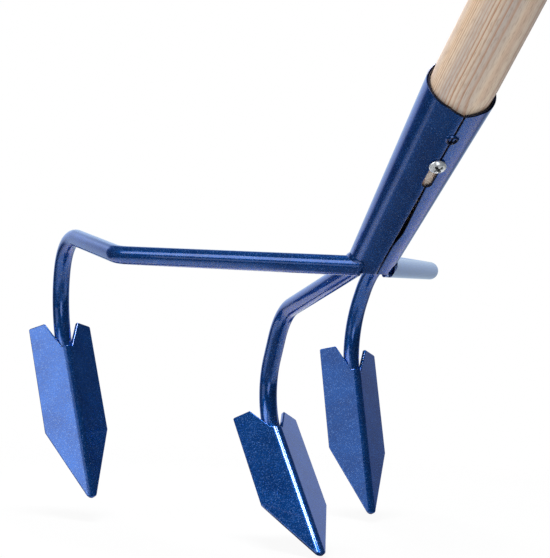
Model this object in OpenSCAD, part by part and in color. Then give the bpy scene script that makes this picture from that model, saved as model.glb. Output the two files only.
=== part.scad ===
// Long handled three-tine cultivator with folded, pointed blades.
// X is the user's right, Y is forward, Z is up, and the arms lie level.
// The origin lies on the handle's axis, where the taper ends and the round grip begins.

/* [Handle] */
// Diameter of the round wooden handle
handle_d = 30; // [26:0.5:34]
// Length of the handle, with the tapered nose inside the socket
handle_len = 1200; // [600:10:1600]
// Height of the domed butt
butt_dome = 8; // [4:0.5:13]
// Distance of the nose's end from the foot of the socket
nose_end = 42; // [32:1:60]
// Angle between the handle and the level arms
handle_angle = 38.5; // [34:0.5:46]

/* [Socket] */
// Length of the rolled socket along its axis
socket_len = 131; // [124:1:160]
// Thickness of the socket's sheet
sheet = 1.5; // [1:0.1:2.2]
// Radial room between the wood and the sheet, which the take-up uses
wood_gap = 0.5; // [0.45:0.05:0.8]
// Length of the wood's taper above the mouth, for driving the socket further on
nose_over = 8; // [4:1:20]
// How far the seam is turned from the underside towards the user's left
seam_turn = 6; // [0:1:25]
// Width of the seam
seam_w = 0.6; // [0.3:0.1:1.2]
// Widest opening of the spread seam below the slot
spread_w = 2; // [1:0.1:3.5]
// Distance of the widest opening from the foot
spread_pos = 43; // [38:1:60]
// Lower end of the spread seam, from the foot
spread_low = 32; // [20:1:36]
// Upper end of the spread seam, from the foot
spread_high = 74; // [62:1:76]
// Height of the level trim of the foot above the underside of the arms
foot_trim = 1.2; // [0:0.1:3]
// Depth of the dip where the two edges meet at the mouth
dip_depth = 2.2; // [1:0.1:5]
// Width of the dip
dip_w = 16; // [8:1:22]

/* [Tack weld] */
// Distance of the tack weld from the foot
tack_pos = 113; // [108:0.5:117]
// Diameter of the tack weld
tack_d = 5.6; // [4:0.1:8]
// Height of the tack weld
tack_h = 0.9; // [0.5:0.1:1.6]
// Diameter of the crater in its middle
crater_d = 2.6; // [1:0.1:3.4]

/* [Screw] */
// Distance of the screw from the foot
screw_pos = 94.5; // [92:0.5:98]
// Outer diameter of the screw's thread
screw_d = 3.9; // [3:0.1:4.8]
// Length of the screw under its head
screw_len = 19; // [13:1:22]
// Length of the screw's point
screw_point = 5; // [3:0.5:7]
// Diameter of the screw's head
head_d = 8; // [6.5:0.1:9.5]
// Height of the screw's head
head_h = 2.6; // [1.8:0.1:3.2]
// Straight height of the head's rim
head_rim = 0.8; // [0.4:0.1:1.2]
// Width of one arm of the cross recess
recess_w = 1.1; // [0.8:0.1:1.5]
// Length of the cross recess
recess_len = 4.4; // [3:0.1:5]
// Depth of the cross recess
recess_depth = 1.7; // [1:0.1:2]
// Spare length of the slot below the screw
slot_run = 14; // [9:0.5:15]
// Side room of the screw in the slot
slot_gap = 0.3; // [0.3:0.05:0.6]
// Room between the screw's head and the sheet
head_gap = 0.3; // [0.2:0.05:0.6]
// Radial clearance of the screw in the wood
pilot_gap = 0.05; // [0.02:0.01:0.1]

/* [Rods] */
// Diameter of the round steel rods
rod_d = 10; // [8:0.5:12]
// Gap between neighbouring rods at the foot
root_gap = 1.3; // [0.6:0.1:2.5]
// How far the ends of the arms reach back along the socket
root_back = 9; // [5:0.5:10]
// How far the middle rod reaches into the foot
middle_inset = 9; // [5:0.5:12]
// Half the distance between the corners of the two arms
corner_x = 92.5; // [75:0.5:110]
// Forward distance of the corners
corner_y = 136.5; // [110:0.5:155]
// Bend radius of the corners
corner_r = 30; // [16:1:40]
// Half the distance between the upper bends of the outer tines
bend_x = 99; // [80:0.5:120]
// Forward distance of the left upper bend
left_bend_y = 238.5; // [210:0.5:265]
// Forward distance of the right upper bend
right_bend_y = 243; // [210:0.5:265]
// Height of the left upper bend above the arms
left_rise = 11.5; // [0:0.5:14]
// Height of the right upper bend above the arms
right_rise = 5; // [0:0.5:14]
// Bend radius of every upper bend
bend_r = 37; // [20:1:38]
// Forward rake of the legs below the upper bends
leg_rake = 28.5; // [26.5:0.5:34]
// Inward lean of the outer legs and blades
tuck = 4.5; // [0:0.5:8]
// Length of the left leg, from the corner of its bend to its sweep
left_leg = 26; // [25.5:0.5:42]
// Length of the right leg
right_leg = 28.5; // [25.5:0.5:42]
// Radius of the backward sweep of the outer tines
outer_sweep_r = 47; // [36:1:60]
// Downward slope of the middle rod
middle_fall = 14; // [8:0.5:20]
// Length of the middle rod, from the foot to its upper bend
middle_reach = 126.5; // [105:0.5:145]
// Length of the middle leg
middle_leg = 30.5; // [22:0.5:42]
// Radius of the backward sweep of the middle tine
middle_sweep_r = 33; // [26:1:42]
// Length of rod behind each blade
rod_tail = 46; // [30:1:52]

/* [Blades] */
// Width of the flat strip that a blade is cut from
strip_w = 43.5; // [36:0.5:50]
// Thickness of the strip
strip_t = 2.5; // [2:0.1:3.5]
// Fold of each wing away from flat
fold = 34; // [20:0.5:40]
// Outer radius of the fold
fold_r = 5; // [4:0.1:6.5]
// Width of the notch at its bottom
notch_w = 5.6; // [5.2:0.1:9]
// Width of the notch at its top
notch_top_w = 22.5; // [18:0.5:28]
// Depth of the notch
notch_depth = 18.5; // [8:0.5:24]
// Distance of the shoulders below the bottom of the notch
shoulder = 51.5; // [42:0.5:64]
// Distance of the point below the bottom of the notch
point = 104.5; // [88:0.5:120]
// Radius of the rounded point
point_r = 3; // [1.5:0.1:4]
// Backward lean of the outer blades
outer_lean = 32.5; // [20:0.5:42]
// Backward lean of the middle blade
middle_lean = 53.5; // [40:0.5:62]

/* [Welds] */
// Size of the welds at the foot
root_weld = 1.8; // [1.2:0.1:3]
// Size of the welds behind the blades
blade_weld = 3; // [2:0.1:4]
// Length of rod left bare at each end of the welds behind the blades
weld_inset = 4; // [2:0.5:8]
// Gap left between pieces that a weld joins
fit_gap = 0.05; // [0.03:0.01:0.1]

/* [Hidden] */
$fn = 64;
paint = "#1d5fa8";
weld_paint = "#1a5596";
wood = "#d9b07c";
zinc = "#c9ccd0";
rod_r = rod_d / 2;
handle_r = handle_d / 2;
// The foot is as wide as the three rods that end at it
foot_r = rod_d + root_gap;
nose_top = socket_len + nose_over;
taper = (handle_r + wood_gap + sheet - foot_r) / nose_top;
mouth_r = socket_r(socket_len);
handle_end = nose_end + handle_len;
// The middle rod lies against the top of the foot's bore
middle_lift = foot_r - sheet - fit_gap - rod_r / cos(handle_angle - middle_fall);
slot_w = screw_d + 2 * slot_gap;
head_seat = socket_r(screw_pos + head_d / 2) + head_gap;
// Half the developed width that the fold takes
fold_run = (fold_r - strip_t / 2) * fold * PI / 180;
// Depth of the rod's axis behind the ridge, with the rod bedded between the wings
rod_bed = fold_r + (rod_r + fit_gap - (fold_r - strip_t)) / cos(fold);
// Metal thins in a bend, and the bend laps into the straight metal beside it
bend_thin = 0.03;
bend_lap = 0.3;
over = 1;
// Facets of the large cone that trims small pieces
fine = 360;

// Outer radius of the socket at a distance from its foot
function socket_r(s) = foot_r + taper * s;
function unit(v) = v / norm(v);
// Angle by which a bend of a given radius laps into the straight metal
function lap_angle(radius) = bend_lap / radius * 180 / PI;
function heading(points, i) = unit(points[i + 1] - points[i]);
function bend_angle(points, i) = acos(heading(points, i - 1) * heading(points, i));
function set_back(points, radii, i) = radii[i] == 0 ? 0 : radii[i] * tan(bend_angle(points, i) / 2);

// Direction of a leg or blade that leans back by an angle, on a tine tucked inwards
function down(side, lean) = [-side * sin(tuck) * cos(lean), -sin(lean), -cos(tuck) * cos(lean)];

// Bend corners of an outer tine, from its root to the end of its tail
function outer_sweep(lean) = outer_sweep_r * tan((leg_rake + lean) / 2);
function arm_root(side) = [side * foot_r, 0, 0];
function arm_corner(side) = [side * corner_x, corner_y, 0];
function arm_start(side) = arm_root(side) - root_back * unit(arm_corner(side) - arm_root(side));
function outer_bend(side) =
    side < 0 ? [-bend_x, left_bend_y, left_rise] : [bend_x, right_bend_y, right_rise];
function outer_knee(side, leg) =
    outer_bend(side) + (leg + outer_sweep(outer_lean)) * down(side, -leg_rake);
function outer_seat(side, leg) =
    outer_knee(side, leg) + outer_sweep(outer_lean) * down(side, outer_lean);
function outer_path(side, leg) =
    [arm_start(side), arm_corner(side), outer_bend(side), outer_knee(side, leg),
     outer_seat(side, leg) + rod_tail * down(side, outer_lean)];
outer_radii = [0, corner_r, bend_r, outer_sweep_r, 0];

// Bend corners of the middle tine
middle_sweep = middle_sweep_r * tan((leg_rake + middle_lean) / 2);
middle_run = [0, cos(middle_fall), -sin(middle_fall)];
middle_root = middle_lift * [0, sin(handle_angle), cos(handle_angle)];
middle_bend = middle_root + middle_reach * middle_run;
middle_knee = middle_bend + (middle_leg + middle_sweep) * [0, sin(leg_rake), -cos(leg_rake)];
middle_down = [0, -sin(middle_lean), -cos(middle_lean)];
middle_seat = middle_knee + middle_sweep * middle_down;
middle_path = [middle_root - middle_inset * middle_run, middle_bend, middle_knee,
               middle_seat + rod_tail * middle_down];
middle_radii = [0, bend_r, middle_sweep_r, 0];

// Places what is drawn from the centre of the socket's foot
module from_foot() {
    translate([0, nose_top * cos(handle_angle), -nose_top * sin(handle_angle)]) children();
}

// Local Z runs up the handle from the foot, local -Y is the underside
module up_handle() {
    from_foot() rotate([90 - handle_angle, 0, 0]) children();
}

module on_seam() {
    up_handle() rotate([0, 0, -seam_turn]) children();
}

// Round bar between two points
module bar(from, to, r) {
    run = to - from;
    translate(from)
        rotate([0, acos(run.z / norm(run)), atan2(run.y, run.x)])
            cylinder(h = norm(run), r = r);
}

// Bent length of round bar that rounds one corner of a path and laps into both straights
module bend(points, radii, i, r) {
    along = heading(points, i - 1);
    axis = unit(cross(along, heading(points, i)));
    out = -cross(axis, along);
    start = points[i] - set_back(points, radii, i) * along;
    centre = start - radii[i] * out;
    lap = lap_angle(radii[i]);
    multmatrix([[out.x, along.x, axis.x, centre.x],
                [out.y, along.y, axis.y, centre.y],
                [out.z, along.z, axis.z, centre.z],
                [0, 0, 0, 1]])
        rotate([0, 0, -lap])
            rotate_extrude(angle = bend_angle(points, i) + 2 * lap)
                translate([radii[i], 0])
                    circle(r = r - bend_thin);
}

module bent_bar(points, radii, r) {
    last = len(points) - 1;
    for (i = [0 : last - 1])
        bar(points[i] + set_back(points, radii, i) * heading(points, i),
            points[i + 1] - set_back(points, radii, i + 1) * heading(points, i), r);
    for (i = [1 : last - 1])
        bend(points, radii, i, r);
}

// Solid envelope of the socket, grown by a margin
module socket_blank(grow) {
    rotate([90 - handle_angle, 0, 0])
        translate([0, 0, -grow])
            cylinder(h = socket_len + 2 * grow, r1 = foot_r + grow, r2 = mouth_r + grow, $fn = fine);
}

// What is trimmed away round the foot, up to a height above the underside of the arms
module under_foot(height) {
    translate(-2 * foot_r * [1, 1, 1])
        cube([4 * foot_r, 4 * foot_r, 2 * foot_r - rod_r + height]);
}

module handle() {
    color(wood)
        on_seam()
            difference() {
                rotate_extrude()
                    polygon([[0, nose_end], [socket_r(nose_end) - sheet - wood_gap, nose_end],
                             [handle_r, nose_top], [handle_r, handle_end], [0, handle_end]]);
                above_dome();
                translate([0, 0, screw_pos])
                    rotate([90, 0, 0])
                        translate([0, 0, head_seat - screw_len])
                            cylinder(h = screw_len, r = screw_d / 2 + pilot_gap);
            }
}

// What is turned away to leave a shallow dome on the butt
module above_dome() {
    dome_r = (handle_r ^ 2 + butt_dome ^ 2) / (2 * butt_dome);
    difference() {
        translate([0, 0, handle_end - butt_dome]) cylinder(h = butt_dome + over, r = handle_r + over);
        translate([0, 0, handle_end - dome_r]) sphere(r = dome_r);
    }
}

// Cross-recess screw: its axis is radial and its head bears on the sheet
module retaining_screw() {
    dome_h = head_h - head_rim;
    dome_r = ((head_d / 2) ^ 2 + dome_h ^ 2) / (2 * dome_h);
    color(zinc)
        on_seam()
            translate([0, 0, screw_pos])
                rotate([90, 0, 0])
                    translate([0, 0, head_seat]) {
                        difference() {
                            intersection() {
                                cylinder(h = head_h, d = head_d);
                                translate([0, 0, head_h - dome_r]) sphere(r = dome_r);
                            }
                            for (turn = [45, 135])
                                rotate([0, 0, turn])
                                    translate([-recess_len / 2, -recess_w / 2, head_h - recess_depth])
                                        cube([recess_len, recess_w, recess_depth + over]);
                        }
                        translate([0, 0, screw_point - screw_len])
                            cylinder(h = screw_len - screw_point, d = screw_d);
                        translate([0, 0, -screw_len])
                            cylinder(h = screw_point, d1 = 0, d2 = screw_d);
                    }
}

// Rolled tapered sheet with an open seam, a screw slot, a dip at its mouth and a trimmed foot
module socket() {
    color(paint)
        difference() {
            on_seam()
                difference() {
                    rotate_extrude()
                        polygon([[foot_r - sheet, 0], [foot_r, 0],
                                 [mouth_r, socket_len], [mouth_r - sheet, socket_len]]);
                    rotate([90, 0, 0]) linear_extrude(mouth_r + over) seam_outline();
                }
            from_foot() under_foot(foot_trim);
        }
}

// What is open along the seam, seen from outside; where it is spread, its right edge bows away
module seam_outline() {
    translate([-seam_w / 2, -over]) square([seam_w, socket_len + 2 * over]);
    polygon([[0, spread_low], [spread_w - seam_w / 2, spread_pos], [0, spread_high]]);
    polygon([[0, socket_len - dip_depth], [dip_w / 2, socket_len], [dip_w / 2, socket_len + over],
             [-dip_w / 2, socket_len + over], [-dip_w / 2, socket_len]]);
    translate([-slot_w / 2, screw_pos - slot_run]) square([slot_w, slot_run]);
    for (end = [screw_pos, screw_pos - slot_run])
        translate([0, end]) circle(d = slot_w);
}

// Puddle of weld across the seam, with sloping sides and a crater where the arc broke off
module seam_tack_weld() {
    color(weld_paint)
        difference() {
            on_seam()
                translate([0, -socket_r(tack_pos), tack_pos])
                    rotate([90, 0, 0])
                        rotate_extrude()
                            polygon([[0, -over], [tack_d / 2 + over, -over],
                                     [tack_d / 2 - tack_h, tack_h], [crater_d / 2, tack_h],
                                     [0, tack_h / 2]]);
            from_foot() socket_blank(fit_gap);
        }
}

// Outer rod, its end coped to the flank of the socket
module outer_tine(side, leg) {
    color(paint)
        from_foot()
            difference() {
                bent_bar(outer_path(side, leg), outer_radii, rod_r);
                socket_blank(fit_gap);
            }
}

module left_tine() {
    outer_tine(-1, left_leg);
}

module right_tine() {
    outer_tine(1, right_leg);
}

module middle_tine() {
    color(paint) from_foot() bent_bar(middle_path, middle_radii, rod_r);
}

// Weld round the coped end of an arm, trimmed by what it joins and level with the arm's underside
module outer_root_weld(side) {
    arm_end = (arm_root(side) + arm_corner(side)) / 2;
    color(weld_paint)
        from_foot()
            difference() {
                intersection() {
                    bar(arm_start(side), arm_end, rod_r + root_weld);
                    socket_blank(root_weld);
                }
                bar(arm_start(side) - over * unit(arm_corner(side) - arm_root(side)),
                    arm_end, rod_r + fit_gap);
                socket_blank(fit_gap);
                middle_weld_bar(fit_gap);
                under_foot(0);
            }
}

module left_root_weld() {
    outer_root_weld(-1);
}

module right_root_weld() {
    outer_root_weld(1);
}

// The space that the middle rod and its weld take
module middle_weld_bar(grow) {
    bar(middle_path[0], middle_bend, rod_r + root_weld + grow);
}

// Weld round the middle rod, on the end of the foot
module middle_root_weld() {
    color(weld_paint)
        from_foot()
            difference() {
                intersection() {
                    middle_weld_bar(0);
                    socket_blank(root_weld);
                }
                bar(middle_path[0] - over * middle_run, middle_bend, rod_r + fit_gap);
                socket_blank(fit_gap);
                for (side = [-1, 1])
                    bar(arm_start(side), arm_corner(side), rod_r + fit_gap);
            }
}

// Local Z runs up the ridge from the bottom of the notch, local -Y faces the user
module on_blade(seat, side, lean) {
    from_foot()
        translate(seat)
            rotate([0, side * tuck, 0])
                rotate([-lean, 0, 0])
                    translate([0, -rod_bed, 0])
                        children();
}

// Half of the flat outline: distance from the ridge, then height over the notch
module half_outline() {
    half_tip = atan2(strip_w / 2, point - shoulder);
    difference() {
        polygon([[0, 0], [notch_w / 2, 0], [notch_top_w / 2, notch_depth], [strip_w / 2, notch_depth],
                 [strip_w / 2, -shoulder], [0, -point]]);
        translate([0, -point]) square(2 * point_r * [cos(half_tip), 1 / sin(half_tip) - sin(half_tip)] / 2);
    }
    intersection() {
        translate([0, -point + point_r / sin(half_tip)]) circle(r = point_r);
        translate([0, -point]) square([strip_w, point]);
    }
}

// One wing, flat, from the edge of the fold outwards
module wing(side) {
    translate([0, fold_r, 0])
        rotate([0, 0, side * fold])
            mirror([side > 0 ? 0 : 1, 0, 0])
                translate([-fold_run, -fold_r + strip_t, 0])
                    rotate([90, 0, 0])
                        linear_extrude(strip_t)
                            intersection() {
                                half_outline();
                                translate([fold_run, -point]) square([strip_w, point + notch_depth]);
                            }
}

// The rounded fold between the wings
module ridge() {
    lap = lap_angle(fold_r);
    intersection() {
        translate([0, fold_r, -point])
            rotate([0, 0, -90 - fold - lap])
                rotate_extrude(angle = 2 * (fold + lap))
                    translate([fold_r - strip_t + bend_thin, 0])
                        square([strip_t - 2 * bend_thin, point]);
        rotate([90, 0, 0])
            linear_extrude(4 * fold_r, center = true)
                for (side = [0, 1])
                    mirror([side, 0, 0]) half_outline();
    }
}

module blade() {
    color(paint) {
        ridge();
        for (side = [-1, 1]) wing(side);
    }
}

module left_blade() {
    on_blade(outer_seat(-1, left_leg), -1, outer_lean) blade();
}

module middle_blade() {
    on_blade(middle_seat, 0, middle_lean) blade();
}

module right_blade() {
    on_blade(outer_seat(1, right_leg), 1, outer_lean) blade();
}

// Fillet welds down both sides of the rod, on the inside of the wings
module fillet_pair() {
    color(weld_paint)
        translate([0, rod_bed, weld_inset - rod_tail])
            linear_extrude(rod_tail - 2 * weld_inset)
                for (side = [0, 1])
                    mirror([side, 0, 0])
                        rotate(fold)
                            difference() {
                                polygon([[0, -rod_r], [rod_r + blade_weld, -rod_r], [rod_r, 0]]);
                                circle(r = rod_r + fit_gap);
                            }
}

module left_blade_weld() {
    on_blade(outer_seat(-1, left_leg), -1, outer_lean) fillet_pair();
}

module middle_blade_weld() {
    on_blade(middle_seat, 0, middle_lean) fillet_pair();
}

module right_blade_weld() {
    on_blade(outer_seat(1, right_leg), 1, outer_lean) fillet_pair();
}

handle();
retaining_screw();
socket();
seam_tack_weld();
left_tine();
middle_tine();
right_tine();
left_root_weld();
middle_root_weld();
right_root_weld();
left_blade();
middle_blade();
right_blade();
left_blade_weld();
middle_blade_weld();
right_blade_weld();
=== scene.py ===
import math

import bmesh
import bpy
import numpy as np
from mathutils import Matrix


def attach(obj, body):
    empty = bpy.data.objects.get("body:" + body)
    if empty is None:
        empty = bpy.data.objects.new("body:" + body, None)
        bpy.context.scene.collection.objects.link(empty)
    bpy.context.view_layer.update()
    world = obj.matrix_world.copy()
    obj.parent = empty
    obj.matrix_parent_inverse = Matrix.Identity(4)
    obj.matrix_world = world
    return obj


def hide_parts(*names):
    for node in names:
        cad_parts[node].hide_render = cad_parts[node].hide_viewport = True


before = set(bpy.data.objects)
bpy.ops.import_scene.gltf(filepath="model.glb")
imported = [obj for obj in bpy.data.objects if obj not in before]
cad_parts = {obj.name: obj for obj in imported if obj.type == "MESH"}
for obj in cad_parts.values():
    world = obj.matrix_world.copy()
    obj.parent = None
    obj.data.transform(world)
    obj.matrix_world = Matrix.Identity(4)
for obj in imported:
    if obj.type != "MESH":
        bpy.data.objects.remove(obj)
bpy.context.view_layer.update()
scene = bpy.context.scene
scene.view_settings.view_transform = "Standard"

# Sizes that several pieces share, in millimetres and degrees, from the centre of the socket's foot
tool = {
    "handleAngle": 38.5,   # how far the handle rises from the level arms
    "noseTop": 139.0,      # where the wood's taper ends and the round grip begins
    "handleRadius": 15.0,
    "footRadius": 11.3,
    "sheet": 1.5,          # thickness of the socket's sheet
    "woodGap": 0.5,        # between the wood and the sheet
    "rodRadius": 5.0,
    "seamTurn": -6.0,      # the seam lies this far round from the underside
    "tuck": 4.5,           # the outer legs lean inwards by this
}
metres = 0.001
fullTurn = 2 * math.pi
placeDigits = 4                      # decimals to which two places count as one
mergeWithin, sliverWithin = 2e-6, 1e-7   # in metres: closes seams, drops slivers
rise = math.radians(tool["handleAngle"])
seam = math.radians(tool["seamTurn"])
rightAxis = np.array([1.0, 0.0, 0.0])
forwardAxis = np.array([0.0, 1.0, 0.0])
upAxis = np.array([0.0, -math.cos(rise), math.sin(rise)])        # up along the handle
underAxis = np.array([0.0, -math.sin(rise), -math.cos(rise)])    # square to it, to the underside
footCentre = np.array([0.0, tool["noseTop"] * math.cos(rise), -tool["noseTop"] * math.sin(rise)])
wallTaper = (tool["handleRadius"] + tool["woodGap"] + tool["sheet"] - tool["footRadius"]) / tool["noseTop"]


def unit(vectors):
    # each vector divided by its length
    return vectors / np.linalg.norm(vectors, axis=-1, keepdims=True)


def smoothStep(low, high, x):
    # 0 below low, 1 above high, and a cubic ease between them
    t = np.clip((x - low) / (high - low), 0, 1)
    return t * t * (3 - 2 * t)


def evenTurns(count):
    # even steps round a full turn; its end is left out, because it is the start again
    return np.linspace(0, fullTurn, count, endpoint=False)


def socketRadius(s):
    # outside of the socket's cone: the foot's radius plus the taper times the way up
    return tool["footRadius"] + wallTaper * s


def aroundHandle(s, radius, turn):
    # s along the handle's axis, then radius outwards, turned from the underside towards the right
    s, radius, turn = np.broadcast_arrays(s, radius, turn)
    return (footCentre + s[..., None] * upAxis
            + (radius * np.sin(turn))[..., None] * rightAxis
            + (radius * np.cos(turn))[..., None] * underAxis)


def gridSurface(points, closed=False):
    # rows by columns of points and the quads between them; closed joins the last column to the first
    rows, columns = points.shape[:2]
    index = np.arange(rows * columns).reshape(rows, columns)
    if closed:
        index = np.concatenate([index, index[:, :1]], axis=1)
    quads = np.stack([index[:-1, :-1], index[:-1, 1:], index[1:, 1:], index[1:, :-1]], axis=-1)
    return points.reshape(-1, 3), quads.reshape(-1, 4)


def sheetSurfaces(front, back):
    # both faces of a sheet as one closed band of columns, and a strip along its first and its last row
    band = np.concatenate([front, back[:, ::-1]], axis=1)
    return [gridSurface(band, True),
            gridSurface(np.stack([front[0], back[0]])),
            gridSurface(np.stack([front[-1], back[-1]]))]


def fineEnds(total, edge, count):
    # places along a length: the same close steps from both ends, and even steps between them
    edge = np.asarray(edge, float)
    middle = np.linspace(edge[-1], total - edge[-1], count)[1:-1]
    return np.concatenate([edge, middle, total - edge[::-1]])


def edgeRound(distance, thickness, radius):
    # half thickness of a sheet near its edge: a quarter circle of the radius, then flat
    reach = np.minimum(distance, radius)
    return thickness / 2 - radius + np.sqrt(np.maximum(radius ** 2 - (radius - reach) ** 2, 0))


def makeMesh(name, surfaces):
    # joins the surfaces in one mesh, closes its seams and poles, and turns its faces outwards
    starts = np.cumsum([0] + [len(points) for points, quads in surfaces])
    points = np.concatenate([points for points, quads in surfaces]) * metres
    quads = np.concatenate([surface[1] + start for surface, start in zip(surfaces, starts)])
    mesh = bpy.data.meshes.new(name)
    mesh.from_pydata(points, [], quads.tolist())
    work = bmesh.new()
    work.from_mesh(mesh)
    bmesh.ops.remove_doubles(work, verts=work.verts, dist=mergeWithin)
    bmesh.ops.dissolve_degenerate(work, edges=work.edges, dist=sliverWithin)
    bmesh.ops.recalc_face_normals(work, faces=work.faces)
    work.to_mesh(mesh)
    work.free()
    return mesh


def makePiece(name, surfaces, material, body, node, sharpAngle=48):
    # a finished piece of the tool, shaded smooth up to the sharp angle, in its CAD node's place
    mesh = makeMesh(name, surfaces)
    mesh.shade_smooth()
    mesh.set_sharp_from_angle(angle=math.radians(sharpAngle))
    mesh.materials.append(material)
    piece = bpy.data.objects.new(name, mesh)
    scene.collection.objects.link(piece)
    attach(piece, body)
    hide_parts(node)
    return piece


def vertexPlaces(piece):
    # places of a piece's vertices in millimetres, from the centre of the socket's foot
    places = np.empty(3 * len(piece.data.vertices))
    piece.data.vertices.foreach_get("co", places)
    return places.reshape(-1, 3) / metres - footCentre


def fromHandle(piece):
    # for each vertex its way up the handle's axis, its distance from it, and its arc from the seam
    places = vertexPlaces(piece)
    right, under = places @ rightAxis, places @ underAxis
    out = np.hypot(right, under)
    turn = np.angle(np.exp(1j * (np.arctan2(right, under) - seam)))
    return places @ upAxis, out, turn * out


def setShare(piece, name, share):
    # keeps a number from 0 to 1 for each vertex, for the material to read
    piece.data.attributes.new(name, "FLOAT", "POINT").data.foreach_set("value", share)


# Materials
colourA, colourB, colourOut = 6, 7, 2    # sockets of a colour mix by number, because their names repeat
numberA, numberB, numberOut = 2, 3, 0    # and those of a number mix
white, black = (1, 1, 1, 1), (0, 0, 0, 1)
noiseMean = (0.5, 0.5, 0.5)


def linear(hexColour):
    # sRGB hex to linear light by the sRGB curve: a straight foot, then a power
    channels = np.array([int(hexColour[i:i + 2], 16) for i in (1, 3, 5)]) / 255
    channels = np.where(channels <= 0.04045, channels / 12.92, ((channels + 0.055) / 1.055) ** 2.4)
    return (*channels.tolist(), 1.0)


def addNode(tree, kind, inputs=None, stops=(), **settings):
    # a new node with its settings; an input is a value or another node's output, stops are a ramp's
    node = tree.nodes.new(kind)
    for setting, value in settings.items():
        setattr(node, setting, value)
    for socket, value in (inputs or {}).items():
        if isinstance(value, bpy.types.NodeSocket):
            tree.links.new(value, node.inputs[socket])
        else:
            node.inputs[socket].default_value = value
    for i, (position, colour) in enumerate(stops):
        if i == len(node.color_ramp.elements):
            node.color_ramp.elements.new(1.0)
        node.color_ramp.elements[i].position = position
        node.color_ramp.elements[i].color = colour
    return node


def newMaterial(name):
    # a material with its node tree, its shader and the coordinates of the object
    material = bpy.data.materials.new(name)
    material.use_nodes = True
    tree = material.node_tree
    place = addNode(tree, "ShaderNodeTexCoord").outputs["Object"]
    return material, tree, tree.nodes["Principled BSDF"], place


def perMetre(millimetres):
    # scale of a pattern: how many of this size go into a metre
    return 1 / (millimetres * metres)


enamelLook = {
    # dark is the colour of painted shade, mixed in where a piece's paintedShade share says so
    "deep": "#093d80", "pale": "#0f4890", "flake": "#8fb6f0", "dark": "#030f2b", "edgeTint": "#74acff",
    "metallic": 0.7, "specular": 0.2, "roughness": (0.21, 0.37),    # from flake to flake
    "coat": 1.0, "coatRoughness": 0.03, "coatIor": 1.42,
    "flakeSize": 0.38,                       # real flake is finer, drawn this coarse so that it shows
    "flakeFrom": 0.86, "flakeMost": 0.3,     # few flakes get the pale colour, and those only in part: painted glint on their own tone
    "cloudSize": 14.0, "cloudStops": (0.35, 0.65), "cloudDetail": 3.0,
    "peelSize": 2.4, "peelDetail": 1.0, "peelDepth": 0.006, "weldDepth": 0.066,
}


def makeEnamel(name, look, skinDepth):
    # metallic stoving enamel, sprayed and baked: pale flakes (their own tone and a painted glint) under a
    # clear gloss with an orange-peel skin, and painted shade, near black, where a piece's share says so
    material, tree, shader, place = newMaterial(name)
    cloud = addNode(tree, "ShaderNodeTexNoise", {
        "Vector": place, "Scale": perMetre(look["cloudSize"]), "Detail": look["cloudDetail"]})
    paint = addNode(tree, "ShaderNodeValToRGB", {"Fac": cloud.outputs["Fac"]}, stops=[
        (look["cloudStops"][0], linear(look["deep"])), (look["cloudStops"][1], linear(look["pale"]))])
    flake = addNode(tree, "ShaderNodeTexVoronoi", {"Vector": place, "Scale": perMetre(look["flakeSize"])})
    chance = addNode(tree, "ShaderNodeSeparateColor", {"Color": flake.outputs["Color"]}).outputs["Red"]
    glint = addNode(tree, "ShaderNodeMapRange", {
        "Value": chance, "From Min": look["flakeFrom"], "To Max": look["flakeMost"]})
    # painted glint: the pale flake colour on a few flakes, over their own paler tone
    flaked = addNode(tree, "ShaderNodeMix", {
        "Factor": glint.outputs["Result"], colourA: paint.outputs["Color"],
        colourB: linear(look["flake"])}, data_type="RGBA")
    # painted shade: the share of the near-black dark colour where a piece asks for it
    shadeShare = addNode(tree, "ShaderNodeAttribute", attribute_name="paintedShade")
    colour = addNode(tree, "ShaderNodeMix", {
        "Factor": shadeShare.outputs["Fac"], colourA: flaked.outputs[colourOut],
        colourB: linear(look["dark"])}, data_type="RGBA")
    gloss = addNode(tree, "ShaderNodeMapRange", {
        "Value": chance, "To Min": look["roughness"][0], "To Max": look["roughness"][1]})
    peel = addNode(tree, "ShaderNodeTexNoise", {
        "Vector": place, "Scale": perMetre(look["peelSize"]), "Detail": look["peelDetail"]})
    skin = addNode(tree, "ShaderNodeBump", {"Height": peel.outputs["Fac"], "Distance": skinDepth * metres})
    tree.links.new(colour.outputs[colourOut], shader.inputs["Base Color"])
    tree.links.new(gloss.outputs["Result"], shader.inputs["Roughness"])
    tree.links.new(skin.outputs["Normal"], shader.inputs["Normal"])
    tree.links.new(skin.outputs["Normal"], shader.inputs["Coat Normal"])
    shader.inputs["Metallic"].default_value = look["metallic"]
    shader.inputs["Specular IOR Level"].default_value = look["specular"]
    shader.inputs["Specular Tint"].default_value = linear(look["edgeTint"])
    shader.inputs["Coat Weight"].default_value = look["coat"]
    shader.inputs["Coat IOR"].default_value = look["coatIor"]
    shader.inputs["Coat Roughness"].default_value = look["coatRoughness"]
    return material


blueEnamel = makeEnamel("blue metallic enamel, stoved", enamelLook, enamelLook["peelDepth"])
weldEnamel = makeEnamel("blue metallic enamel over weld", enamelLook, enamelLook["weldDepth"])

woodLook = {
    "pale": "#efd9c0", "warm": "#eec79b", "shadeGrey": "#c9beb6", "late": "#bd7d50", "fibre": "#a98468",
    "pith": (-7.0, 39.0),                    # the tree's heart lies this far right of and over the axis
    "ringSpacing": 1.15, "ringStops": (0.45, 0.86, 0.98),    # late wood begins, is full and ends
    "ringStrength": (0.45, 1.0),             # from year to year
    "wander": 0.7, "wanderSize": 26.0,       # the rings aren't quite round
    # streakShift slides the streaks so that the shadeGrey one, painted shade, runs along the grip's middle
    "streakSize": 19.0, "streakShift": 7.0, "streakStops": (0.36, 0.48, 0.62), "streakSquash": 0.025,
    "fibreSize": 0.45, "fibreRange": (0.5, 0.75), "fibreMost": 0.6, "fibreSquash": 0.1,
    "fibreDepth": 0.05, "roughness": (0.62, 0.48), "detail": 2.0,
}


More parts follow.
